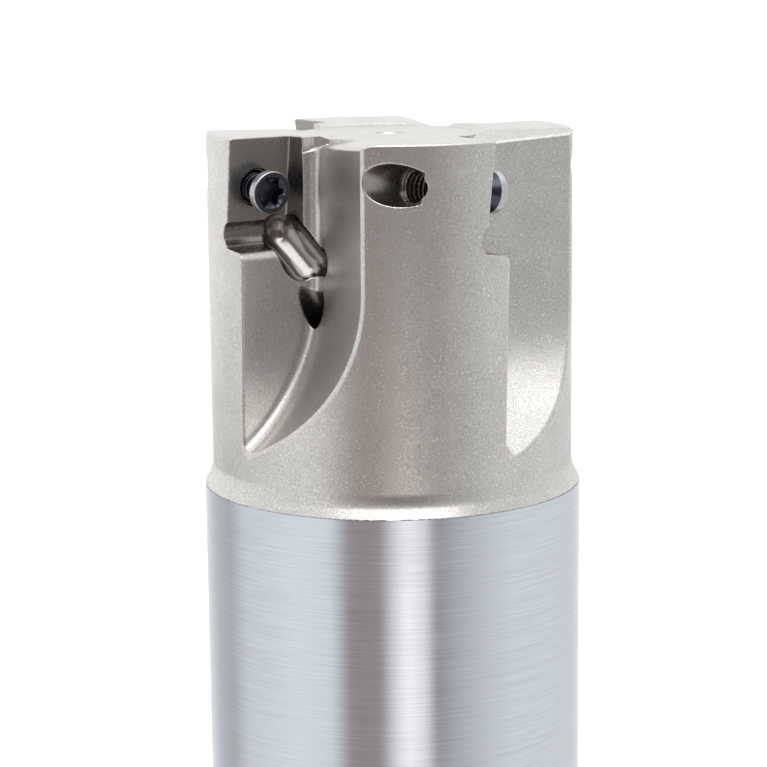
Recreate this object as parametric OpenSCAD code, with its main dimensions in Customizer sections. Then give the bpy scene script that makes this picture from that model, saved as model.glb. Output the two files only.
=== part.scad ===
// Indexable face and shoulder mill on a plain cylindrical shank.
// Z is the tool's axis: the shank's end face is at Z = 0 and the cutting end is up.
// Inside a tooth's own frame, X points outwards along the insert seat, Y points the way
// the tooth travels, and Z = 0 is the cutting end.

/* [Overall] */
// Length from the shank's end face to the cutting end
overall_length = 150; // [120:1:200]
// Diameter of the ground shank
shank_d = 32; // [31.8:0.1:33]
// Diameter of the plated head
head_d = 30.6; // [30.4:0.1:31]
// Length of the head, down to the edge of the shank
head_length = 29.7; // [28.5:0.1:34]
// Height of the sloped shoulder between head and shank
shoulder_height = 1.1; // [0.8:0.1:2]
// Number of teeth, each with a gullet, a seat and a screw
tooth_count = 4; // [3:1:4]
// Angle of the first insert seat from the X axis
first_tooth_angle = 33; // [0:1:60]

/* [Gullet] */
// Distance of the gullet's floor ahead of the tooth's centre plane, at the cutting end
floor_offset = 1.73; // [1.6:0.01:2]
// Tilt of the floor along the tool
floor_tilt = 1.5; // [0:0.1:3]
// Distance of the gullet's wall from the tool's axis, at the floor
wall_reach = 8; // [7.6:0.1:8.2]
// Lean of the wall over the floor
wall_lean = 12.2; // [8:0.1:14]
// Fillet between floor and wall
root_radius = 1.1; // [0.6:0.1:1.4]
// Depth at which the wall starts to curve outwards
runout_start = 11.6; // [10:0.1:12.5]
// Radius of the curved run-out
runout_radius = 17.7; // [16:0.1:18]

/* [Insert pocket] */
// Distance of the seat from the tooth's centre plane, at the cutting end
seat_offset = 0.05; // [-0.1:0.05:0.2]
// Axial rake of the seat
axial_rake = 6.4; // [4:0.1:8]
// Distance of the seat's side wall from the tool's axis
side_wall_reach = 9.72; // [9.5:0.01:9.9]
// Lean of the side wall, which matches the insert's clearance
side_wall_lean = 9; // [7:0.5:11]
// Depth of the ledge below the cutting end
ledge_depth = 8.95; // [8.5:0.05:9.2]
// Rounding of the ledge's outer corner
ledge_radius = 1.1; // [0.6:0.1:1.2]
// Radius of the relief groove above the ledge
groove_radius = 1.1; // [0.8:0.05:1.2]
// Radius of the ball relief in the pocket's corner
ball_radius = 1.77; // [1.5:0.01:1.8]

/* [Insert screw] */
// Thread diameter
screw_d = 2.5; // [2.3:0.1:2.6]
// Overall length of the screw
screw_length = 6.5; // [5.5:0.1:7]
// Diameter of the head
screw_head_d = 3.5; // [3.3:0.1:3.7]
// Height of the straight rim of the head
screw_rim_height = 0.7; // [0.4:0.1:0.9]
// Half angle of the head's conical underside
screw_cone_half_angle = 30; // [28:1:45]
// Height of the head's face above the seat, with the screw loose
screw_standoff = 2.3; // [1.8:0.1:4]
// Distance of the screw's axis from the tool's axis, at the seat
screw_reach = 12.6; // [12.4:0.1:12.8]
// Depth of the screw's axis below the cutting end, at the seat
screw_depth = 4.1; // [3.9:0.1:4.4]
// Tilt of the screw's axis along the tool
screw_axial_tilt = 6.9; // [5:0.1:8]
// Tilt of the screw's axis towards the side wall
screw_side_tilt = 2.9; // [0:0.1:4]
// Radial clearance between the screw and its bore
thread_clearance = 0.05; // [0.02:0.01:0.08]
// Six-lobe socket: diameter across the lobes
socket_d = 2.5; // [2.2:0.1:2.6]
// Six-lobe socket: depth
socket_depth = 1.2; // [0.8:0.1:1.4]

/* [Coolant] */
// Diameter of the central coolant bore
coolant_bore_d = 8; // [7:0.5:9]
// Depth of the head left solid above the coolant bore
coolant_bore_cover = 19; // [18:0.5:20]
// Diameter of the coolant hole to each gullet
coolant_hole_d = 2; // [1.6:0.1:2.2]

/* [Hidden] */
$fn = 96;

plated_steel = [0.66, 0.64, 0.6];
black_oxide = [0.12, 0.13, 0.15];

shank_r = shank_d / 2;
head_r = head_d / 2;
margin = 3;
cutter_height = 16;

// End faces of the body
shank_chamfer = 1;
top_edge_chamfer = 0.2;
shoulder_fillet_height = 1;
shoulder_fillet_step = 0.12;
dish_r = 7.7;
dish_rim_r = 8.2;
dish_depth = 0.3;
centre_hole_r = 1.25;
centre_pilot_r = 0.5;
centre_hole_depth = 1.3;
centre_pilot_depth = 2.6;

// The facet behind each tooth starts on a line across the top and falls towards the gullet
facet_start = [9.07, 12.3];
facet_turn = 29.7;
facet_slope = 12.4;
facet_length = 9.5;

// Corner relief: where the ball stops, and where its run leads out of the corner
ball_centre = [10.62, 0.15, -7.92];
ball_run = 3.3;
ball_tilt = 135.7;
ball_turn = 117.9;

// Relief groove along the ledge
groove_offset = -0.29;

// Screw bore
mouth_r = 1.5;
mouth_depth = 0.45;
rear_bore_r = 1.63;
rear_bore_start = 5.7;
seat_at_screw = seat_offset - screw_depth * tan(axial_rake);
screw_r = screw_d / 2;
screw_head_r = screw_head_d / 2;
screw_cone_height = (screw_head_r - screw_r) / tan(screw_cone_half_angle);
screw_tip_chamfer = 0.35;
socket_lobe_r = socket_d * 0.1;
socket_root_r = socket_d * 0.36;

// Coolant hole: where it breaks into the gullet, and its direction
coolant_exit = [8.8, 2, -13.8];
coolant_turn = 25;
coolant_rise = 56;
coolant_run_in = 12;
coolant_run_out = 4;
inlet_chamfer = 1.5;

// Places its children in the frame of tooth number k, counted from 0
module tooth_frame(k) {
    translate([0, 0, overall_length])
        rotate([0, 0, first_tooth_angle + 360 / tooth_count * k])
            children();
}

// Places its children on the screw's axis, with Z pointing out of the seat
module screw_frame() {
    translate([screw_reach, seat_at_screw, -screw_depth])
        rotate([-90 - screw_axial_tilt, 0, screw_side_tilt])
            children();
}

// Turned outline of head and shank
module turned_blank() {
    shoulder_z = overall_length - head_length;
    shoulder_top_z = shoulder_z + shoulder_height;
    rotate_extrude()
        polygon([
            [0, 0],
            [shank_r - shank_chamfer, 0],
            [shank_r, shank_chamfer],
            [shank_r, shoulder_z],
            [head_r + shoulder_fillet_step, shoulder_top_z],
            [head_r + shoulder_fillet_step / 4, shoulder_top_z + shoulder_fillet_height / 2],
            [head_r, shoulder_top_z + shoulder_fillet_height],
            [head_r, overall_length - top_edge_chamfer],
            [head_r - top_edge_chamfer, overall_length],
            [0, overall_length]
        ]);
}

// Coolant bore from the shank's end, with its chamfered mouth
module coolant_bore_cutter() {
    bore_r = coolant_bore_d / 2;
    translate([0, 0, -margin])
        cylinder(h = overall_length - coolant_bore_cover + margin, r = bore_r);
    translate([0, 0, -margin])
        cylinder(h = inlet_chamfer + margin, r1 = bore_r + inlet_chamfer + margin, r2 = bore_r);
}

// Shallow dish and centre hole in the cutting end
module end_face_cutter() {
    translate([0, 0, overall_length - dish_depth])
        cylinder(h = dish_depth, r1 = dish_r, r2 = dish_rim_r);
    translate([0, 0, overall_length])
        cylinder(h = margin, r = dish_rim_r);
    translate([0, 0, overall_length - dish_depth - centre_hole_depth])
        cylinder(h = centre_hole_depth, r1 = centre_pilot_r, r2 = centre_hole_r);
    translate([0, 0, overall_length - dish_depth - centre_pilot_depth])
        cylinder(h = centre_pilot_depth, r = centre_pilot_r);
}

// Section of the gullet as [distance from the run-out's centre, height above the floor]
function gullet_section() =
    let (
        fillet_centre = runout_radius - root_radius * (1 + sin(wall_lean)) / cos(wall_lean),
        steps = 6
    )
    concat(
        [[0, 0]],
        [for (i = [0:steps])
            let (turn = -90 + (90 + wall_lean) * i / steps)
            [fillet_centre + root_radius * cos(turn), root_radius * (1 + sin(turn))]],
        [[runout_radius - cutter_height * tan(wall_lean), cutter_height], [0, cutter_height]]
    );

// Chip gullet: straight along the tool, then sweeping outwards to its run-out
module gullet_cutter() {
    centre_x = wall_reach + runout_radius;
    translate([0, floor_offset, 0])
        rotate([-floor_tilt, 0, 0])
            translate([centre_x, 0, -runout_start]) {
                rotate([-90, 0, 0])
                    rotate_extrude()
                        polygon(gullet_section());
                linear_extrude(runout_start + margin)
                    mirror([1, 0])
                        polygon(gullet_section());
            }
}

// Seat, side wall and ledge of the insert pocket
module pocket_cutter() {
    wall_run = cutter_height * tan(side_wall_lean);
    translate([0, seat_offset, 0])
        rotate([-axial_rake, 0, 0])
            translate([0, 0, -ledge_depth])
                linear_extrude(ledge_depth + margin)
                    polygon([
                        [side_wall_reach, 0],
                        [shank_r + margin, 0],
                        [shank_r + margin, cutter_height / 4],
                        [side_wall_reach - wall_run / 4, cutter_height / 4]
                    ]);
}

// Rounds the corner where the ledge meets the gullet's floor
module ledge_corner_cutter() {
    floor_here = floor_offset - ledge_depth * tan(floor_tilt);
    difference() {
        translate([side_wall_reach, floor_here - ledge_radius, -ledge_depth - ledge_radius])
            cube([shank_r, ledge_radius + 1, ledge_radius + 0.6]);
        translate([side_wall_reach - 1, floor_here - ledge_radius, -ledge_depth - ledge_radius])
            rotate([0, 90, 0])
                cylinder(h = shank_r + 2, r = ledge_radius);
    }
}

// Relief groove along the ledge
module groove_cutter() {
    translate([side_wall_reach, groove_offset, -ledge_depth + groove_radius])
        rotate([0, 90, 0])
            cylinder(h = shank_r, r = groove_radius);
}

// Ball-ended relief that frees the insert's corner
module ball_relief_cutter() {
    translate(ball_centre)
        rotate([0, ball_tilt, ball_turn]) {
            sphere(r = ball_radius);
            cylinder(h = ball_run, r = ball_radius);
            translate([0, 0, ball_run])
                sphere(r = ball_radius);
        }
}

// Screw bore with its open mouth in the seat and its wider rear end
module screw_bore_cutter() {
    screw_frame() {
        translate([0, 0, -cutter_height])
            cylinder(h = cutter_height + margin, r = screw_r);
        translate([0, 0, -mouth_depth])
            cylinder(h = mouth_depth + margin, r = mouth_r);
        translate([0, 0, -cutter_height])
            cylinder(h = cutter_height - rear_bore_start, r = rear_bore_r);
    }
}

// Coolant hole from the central bore into the root of the gullet
module coolant_hole_cutter() {
    translate(coolant_exit)
        rotate([0, 90 - coolant_rise, coolant_turn])
            translate([0, 0, -coolant_run_in])
                cylinder(h = coolant_run_in + coolant_run_out, r = coolant_hole_d / 2);
}

// Facet across the trailing end of the tooth ahead, outside the dish and off the gullet's floor
module facet_cutter() {
    difference() {
        translate([facet_start.x, facet_start.y, 0])
            rotate([0, 0, -facet_turn])
                rotate([0, facet_slope, 0])
                    translate([0, -facet_length, 0])
                        cube([cutter_height / 2, facet_length + margin, margin]);
        translate([0, 0, -margin])
            cylinder(h = 2 * margin, r = dish_r);
        translate([0, floor_offset - cutter_height, -margin])
            cube([cutter_height, cutter_height, 2 * margin]);
    }
}

// One-piece head and shank
module mill_body() {
    color(plated_steel)
        difference() {
            turned_blank();
            coolant_bore_cutter();
            end_face_cutter();
            for (k = [0:tooth_count - 1])
                tooth_frame(k) {
                    gullet_cutter();
                    pocket_cutter();
                    ledge_corner_cutter();
                    groove_cutter();
                    ball_relief_cutter();
                    screw_bore_cutter();
                    coolant_hole_cutter();
                    facet_cutter();
                }
        }
}

// Outline of the six-lobe socket
module six_lobe() {
    circle(r = socket_root_r);
    for (i = [0:5])
        rotate(60 * i)
            translate([socket_d / 2 - socket_lobe_r, 0])
                circle(r = socket_lobe_r, $fn = 32);
    for (i = [0:2])
        rotate(60 * i)
            square([socket_d - 2 * socket_lobe_r, 2 * socket_lobe_r], center = true);
}

// Countersunk insert screw, standing loose in the bore of tooth number k
module insert_screw(k) {
    shaft_r = screw_r - thread_clearance;
    cone_start = screw_rim_height + screw_cone_height;
    tooth_frame(k)
        screw_frame()
            translate([0, 0, screw_standoff])
                difference() {
                    rotate_extrude()
                        polygon([
                            [0, 0],
                            [screw_head_r, 0],
                            [screw_head_r, -screw_rim_height],
                            [shaft_r, -cone_start],
                            [shaft_r, -screw_length + screw_tip_chamfer],
                            [shaft_r - screw_tip_chamfer, -screw_length],
                            [0, -screw_length]
                        ]);
                    translate([0, 0, -socket_depth])
                        linear_extrude(socket_depth + margin)
                            six_lobe();
                }
}

module insert_screw_1() {
    color(black_oxide) insert_screw(0);
}

module insert_screw_2() {
    color(black_oxide) insert_screw(1);
}

module insert_screw_3() {
    color(black_oxide) insert_screw(2);
}

module insert_screw_4() {
    color(black_oxide) insert_screw(3);
}

mill_body();
insert_screw_1();
insert_screw_2();
insert_screw_3();
insert_screw_4();
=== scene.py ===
"""Looks of an indexable face mill with a plain cylindrical shank.

The mill stands on its shank, +Z up, in metres. Shapes are worked out in millimetres in
frames of their own and placed at the end:

* the head's frame has Z = 0 at the cutting end, and Z falls towards the shank;
* a tooth's frame has X outwards along the insert seat and Y the way the tooth travels;
* the screw's frame has Z = 0 at the insert seat, and Z points out of it.

The machined head and the screws are described by signed distances, negative inside the metal,
so that every milled edge gets its own small rounding. A fine grid then turns them into meshes.
"""

from __future__ import annotations

import logging
import math
from dataclasses import dataclass, field
from enum import Enum
from typing import Callable

import bpy
import numpy as np
from mathutils import Euler, Matrix, Vector

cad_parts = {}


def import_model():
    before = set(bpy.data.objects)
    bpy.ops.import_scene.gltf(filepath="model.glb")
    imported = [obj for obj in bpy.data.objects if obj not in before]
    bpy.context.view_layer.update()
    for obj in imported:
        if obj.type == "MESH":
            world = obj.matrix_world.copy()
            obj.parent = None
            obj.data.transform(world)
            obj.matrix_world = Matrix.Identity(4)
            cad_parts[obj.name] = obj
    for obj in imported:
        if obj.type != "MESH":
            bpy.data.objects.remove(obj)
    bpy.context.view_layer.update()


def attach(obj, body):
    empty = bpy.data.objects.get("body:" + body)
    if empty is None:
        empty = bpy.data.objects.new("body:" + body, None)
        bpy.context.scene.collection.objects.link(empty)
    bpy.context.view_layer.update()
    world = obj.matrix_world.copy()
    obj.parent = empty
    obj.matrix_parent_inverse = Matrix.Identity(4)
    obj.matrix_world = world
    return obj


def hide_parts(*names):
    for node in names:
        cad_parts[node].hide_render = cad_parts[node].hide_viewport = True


LOG = logging.getLogger("face_mill")
MM = 0.001
TRIANGLE_LIMIT = 190_000
WHITE = (1.0, 1.0, 1.0, 1.0)

Points = np.ndarray
Distance = np.ndarray
DistanceRule = Callable[[Points], Distance]


# ---------------------------------------------------------------------------------------
# Signed distances
# ---------------------------------------------------------------------------------------


def both(a: Distance, b: Distance, rounding: float = 0.0) -> Distance:
    """Returns the distance to the part that two solids share.

    Args:
        a: Distance to the first solid.
        b: Distance to the second solid.
        rounding: Radius of the outer edge where their surfaces cross.

    Returns:
        The distance to the shared part.
    """
    if rounding <= 0:
        return np.maximum(a, b)
    reach = np.hypot(np.maximum(a + rounding, 0), np.maximum(b + rounding, 0))
    return np.minimum(np.maximum(a, b), -rounding) + reach


def either(a: Distance, b: Distance, rounding: float = 0.0) -> Distance:
    """Returns the distance to two joined solids, with a fillet of the given radius."""
    return -both(-a, -b, rounding)


def cut(body: Distance, tool: Distance, edge_break: float = 0.0) -> Distance:
    """Returns the distance to a body after a tool has cut it.

    Args:
        body: Distance to the body.
        tool: Distance to the space that the tool sweeps.
        edge_break: Radius of the edges that the cut leaves.

    Returns:
        The distance to what is left.
    """
    return both(body, -tool, edge_break)


def slab(height: Distance, low: float, high: float) -> Distance:
    """Returns the distance to a layer between two heights."""
    return np.maximum(low - height, height - high)


def tilted(points: Points, degrees: float, axis: str) -> Points:
    """Returns points in a frame that is turned about an axis through the origin.

    Args:
        points: The points, one a row.
        degrees: The frame's angle, by the right-hand rule.
        axis: One of "X", "Y" and "Z".

    Returns:
        The points as the turned frame sees them.
    """
    return points @ np.array(Matrix.Rotation(math.radians(degrees), 3, axis))


def aimed(heading: float, rise: float) -> Points:
    """Returns the unit vector at a heading and a rise above level, both in degrees."""
    heading, rise = math.radians(heading), math.radians(rise)
    flat = math.cos(rise)
    return np.array([flat * math.cos(heading), flat * math.sin(heading), math.sin(rise)])


def along(points: Points, start: Points, direction: Points) -> tuple[Distance, Distance]:
    """Splits each point's place beside an axis.

    Args:
        points: The points, one a row.
        start: A point on the axis.
        direction: The axis as a unit vector.

    Returns:
        How far along the axis each point lies, and how far from it.
    """
    offset = points - start
    travel = offset @ direction
    return travel, np.linalg.norm(offset - travel[:, None] * direction, axis=1)


# ---------------------------------------------------------------------------------------
# Meshing
# ---------------------------------------------------------------------------------------


@dataclass
class GridMesher:
    """Turns a distance rule into a closed mesh.

    Attributes:
        rule: Distance to the solid, in millimetres.
        low: Lowest corner of the box that holds the solid.
        high: Highest corner of that box.
        cell: Edge of the finest grid cell.
        halvings: How often the first, coarse cells are halved to reach it.
    """

    rule: DistanceRule
    low: tuple[float, float, float]
    high: tuple[float, float, float]
    cell: float
    halvings: int = 3

    _SPAN = 1 << 20
    _BLOCK = 250_000
    _STEEPEST = 1.55
    _FLATTEST = 0.25
    _SLOPE_STEP = 0.2
    _NORMAL_STEP = 0.15
    _CORNERS = np.array([(i, j, k) for k in (0, 1) for j in (0, 1) for i in (0, 1)])

    def distance(self, points: Points) -> Distance:
        """Returns the rule's values, worked out in blocks that fit in memory."""
        starts = range(0, len(points), self._BLOCK)
        return np.concatenate([self.rule(points[i : i + self._BLOCK]) for i in starts])

    def gradient(self, points: Points, step: float) -> Points:
        """Returns how the distance grows along X, Y and Z."""
        total = np.zeros_like(points)
        for corner in np.array([(1, -1, -1), (-1, -1, 1), (-1, 1, -1), (1, 1, 1)], float):
            total += corner * self.distance(points + corner * step)[:, None]
        return total / (4 * step)

    def settled(self, points: Points, rounds: int) -> Points:
        """Returns points near the surface, moved onto it."""
        for _ in range(rounds):
            slope = self.gradient(points, self.cell * self._SLOPE_STEP)
            steepness = np.maximum((slope**2).sum(1, keepdims=True), self._FLATTEST)
            points = points - slope * self.distance(points)[:, None] / steepness
        return points

    def _place(self, cells: np.ndarray) -> Points:
        """Returns where grid corners lie."""
        return cells * self.cell + np.array(self.low)

    def _keys(self, cells: np.ndarray) -> np.ndarray:
        """Returns one whole number for each cell."""
        shifted = cells.astype(np.int64) + 1
        return (shifted[:, 2] * self._SPAN + shifted[:, 1]) * self._SPAN + shifted[:, 0]

    def _near_cells(self) -> np.ndarray:
        """Returns the finest cells that the surface may pass through."""
        coarse = self.cell * 2**self.halvings
        counts = np.ceil((np.array(self.high) - np.array(self.low)) / coarse).astype(int)
        axes = [np.arange(count) for count in counts]
        cells = np.stack(np.meshgrid(*axes, indexing="ij"), -1).reshape(-1, 3)
        for level in range(self.halvings, -1, -1):
            scale = 2**level
            half_diagonal = self.cell * scale * math.sqrt(3) / 2
            near = np.abs(self.distance(self._place((cells + 0.5) * scale)))
            cells = cells[near < half_diagonal * self._STEEPEST]
            if level:
                cells = (cells[:, None] * 2 + self._CORNERS).reshape(-1, 3)
        return cells

    def _corner_values(self, cells: np.ndarray) -> np.ndarray:
        """Returns the distance at each cell's eight corners, the lowest corner first."""
        corners = (cells[:, None] + self._CORNERS).reshape(-1, 3)
        _, first, spot = np.unique(self._keys(corners), return_index=True, return_inverse=True)
        values = self.distance(self._place(corners[first]))
        return values[spot.reshape(-1)].reshape(-1, 8)

    def surface(self) -> tuple[Points, np.ndarray]:
        """Builds the surface.

        Returns:
            The vertices, and the quads as rows of four vertex numbers, facing outwards.
        """
        cells = self._near_cells()
        values = self._corner_values(cells)
        inside = values < 0
        crossed = inside.any(1) & ~inside.all(1)
        cells, values, inside = cells[crossed], values[crossed], inside[crossed]
        order = np.argsort(self._keys(cells))
        cells, values, inside = cells[order], values[order], inside[order]
        keys = self._keys(cells)
        places = self.settled(self._place(cells + self._crossing(values, inside)), 2)
        quads = []
        for axis in range(3):
            change = inside[:, 1 << axis].astype(int) - inside[:, 0]
            side, up = (axis + 1) % 3, (axis + 2) % 3
            for sign in (-1, 1):
                ring = []
                for back in ((0, 0), (1, 0), (1, 1), (0, 1)):
                    cell = cells[change == sign]
                    cell[:, side] -= back[0]
                    cell[:, up] -= back[1]
                    wanted = self._keys(cell)
                    spot = np.minimum(np.searchsorted(keys, wanted), len(keys) - 1)
                    ring.append(np.where(keys[spot] == wanted, spot, -1))
                quad = np.stack(ring if sign < 0 else ring[::-1], 1)
                quads.append(quad[(quad >= 0).all(1)])
        return places, np.concatenate(quads)

    def _crossing(self, values: np.ndarray, inside: np.ndarray) -> Points:
        """Returns the mean place in each cell where the surface crosses its edges."""
        offsets = self._CORNERS.astype(float)
        total, number = np.zeros((len(values), 3)), np.zeros(len(values))
        for a in range(8):
            for axis in range(3):
                b = a | (1 << axis)
                if b == a:
                    continue
                hit = inside[:, a] != inside[:, b]
                share = values[hit, a] / (values[hit, a] - values[hit, b])
                total[hit] += offsets[a] + share[:, None] * (offsets[b] - offsets[a])
                number[hit] += 1
        return total / number[:, None]

    def mesh(self, name: str, limit: int = TRIANGLE_LIMIT) -> bpy.types.Mesh:
        """Builds a triangle mesh with the surface's own normals.

        Args:
            name: Name of the mesh.
            limit: Largest number of triangles.

        Returns:
            The mesh, in millimetres.
        """
        places, quads = self.surface()
        LOG.info("%s: %d grid faces", name, len(quads))
        dense = mesh_from_arrays(name + "_grid", places, quads)
        finished = thinned(dense, name, min(1.0, limit / (2 * len(quads))))
        vertices, corners = mesh_arrays(finished)
        vertices = self.settled(vertices, 1)
        finished.vertices.foreach_set("co", vertices.ravel())
        self._set_normals(finished, vertices, corners)
        return finished

    def _set_normals(self, mesh: bpy.types.Mesh, vertices: Points, faces: np.ndarray) -> None:
        """Gives each face corner the surface's normal just inside its face."""
        corner = vertices[faces].reshape(-1, 3)
        middle = np.repeat(vertices[faces].mean(1), 3, axis=0)
        inward = middle - corner
        length = np.linalg.norm(inward, axis=1, keepdims=True)
        far_in = np.minimum(0.5 * length, 1.5 * self.cell)
        shift = np.where(length > 2 * self.cell, far_in, 0.08 * length)
        inside_face = corner + inward / np.maximum(length, 1e-9) * shift
        normals = self.gradient(inside_face, self.cell * self._NORMAL_STEP)
        normals /= np.maximum(np.linalg.norm(normals, axis=1, keepdims=True), 1e-9)
        mesh.polygons.foreach_set("use_smooth", np.ones(len(faces), dtype=bool))
        mesh.normals_split_custom_set(normals.tolist())


def mesh_from_arrays(name: str, vertices: Points, faces: np.ndarray) -> bpy.types.Mesh:
    """Returns a mesh of faces that all have the same number of corners."""
    mesh = bpy.data.meshes.new(name)
    count, corners = faces.shape
    mesh.vertices.add(len(vertices))
    mesh.vertices.foreach_set("co", np.ascontiguousarray(vertices, dtype=np.float32).ravel())
    mesh.loops.add(count * corners)
    mesh.loops.foreach_set("vertex_index", faces.astype(np.int32).ravel())
    mesh.polygons.add(count)
    mesh.polygons.foreach_set("loop_start", np.arange(0, count * corners, corners, dtype=np.int32))
    mesh.update(calc_edges=True)
    mesh.validate()
    return mesh


def mesh_arrays(mesh: bpy.types.Mesh) -> tuple[Points, np.ndarray]:
    """Returns a triangle mesh's vertices and its faces' vertex numbers."""
    vertices = np.zeros(len(mesh.vertices) * 3, dtype=np.float32)
    mesh.vertices.foreach_get("co", vertices)
    corners = np.zeros(len(mesh.loops), dtype=np.int32)
    mesh.loops.foreach_get("vertex_index", corners)
    return vertices.reshape(-1, 3).astype(float), corners.reshape(-1, 3)


def thinned(dense: bpy.types.Mesh, name: str, ratio: float) -> bpy.types.Mesh:
    """Returns a triangle mesh with a share of another mesh's faces, and removes that one."""
    carrier = bpy.data.objects.new(name + "_carrier", dense)
    bpy.context.scene.collection.objects.link(carrier)
    fewer = carrier.modifiers.new("fewer faces", "DECIMATE")
    fewer.ratio = ratio
    fewer.use_collapse_triangulate = True
    carrier.modifiers.new("triangles", "TRIANGULATE")
    mesh = baked(carrier, name)
    bpy.data.objects.remove(carrier)
    bpy.data.meshes.remove(dense)
    return mesh


def baked(carrier: bpy.types.Object, name: str) -> bpy.types.Mesh:
    """Returns the plain mesh that an object's modifiers make."""
    graph = bpy.context.evaluated_depsgraph_get()
    mesh = bpy.data.meshes.new_from_object(carrier.evaluated_get(graph), depsgraph=graph)
    mesh.name = name
    return mesh


def piece(name: str, mesh: bpy.types.Mesh, place: Matrix | None = None) -> bpy.types.Object:
    """Makes an object at the origin from a mesh in millimetres.

    Args:
        name: Name of the object.
        mesh: The mesh.
        place: Where the mesh's frame lies in the part's frame, in millimetres.

    Returns:
        The object, in metres.
    """
    place = Matrix.Identity(4) if place is None else place
    mesh.transform(Matrix.Scale(MM, 4) @ place)
    mesh.name = name
    obj = bpy.data.objects.new(name, mesh)
    bpy.context.scene.collection.objects.link(obj)
    return obj


# ---------------------------------------------------------------------------------------
# Head
# ---------------------------------------------------------------------------------------


class Surface(Enum):
    """Kinds of machined surface on the head, in the order of its materials."""

    BLASTED = 0
    MILLED = 1
    POLISHED = 2


@dataclass(frozen=True)
class ScrewSeat:
    """Where an insert screw stands in its tooth's frame."""

    reach: float = 12.6
    depth: float = 4.1
    seat_offset: float = 0.05
    axial_rake: float = 6.4
    axial_tilt: float = 6.9
    side_tilt: float = 2.9
    standoff: float = 2.3
    thread_crest_r: float = 1.25
    thread_root_r: float = 1.42
    thread_pitch: float = 0.45
    mouth_r: float = 1.5
    mouth_depth: float = 0.45
    thread_end: float = 5.7
    rear_bore_r: float = 1.63

    def place(self) -> Matrix:
        """Returns the screw's frame in its tooth's frame."""
        seat = self.seat_offset - self.depth * math.tan(math.radians(self.axial_rake))
        angles = (math.radians(-90 - self.axial_tilt), 0.0, math.radians(self.side_tilt))
        turned = Euler(angles, "XYZ").to_matrix().to_4x4()
        return Matrix.Translation((self.reach, seat, -self.depth)) @ turned


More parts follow.
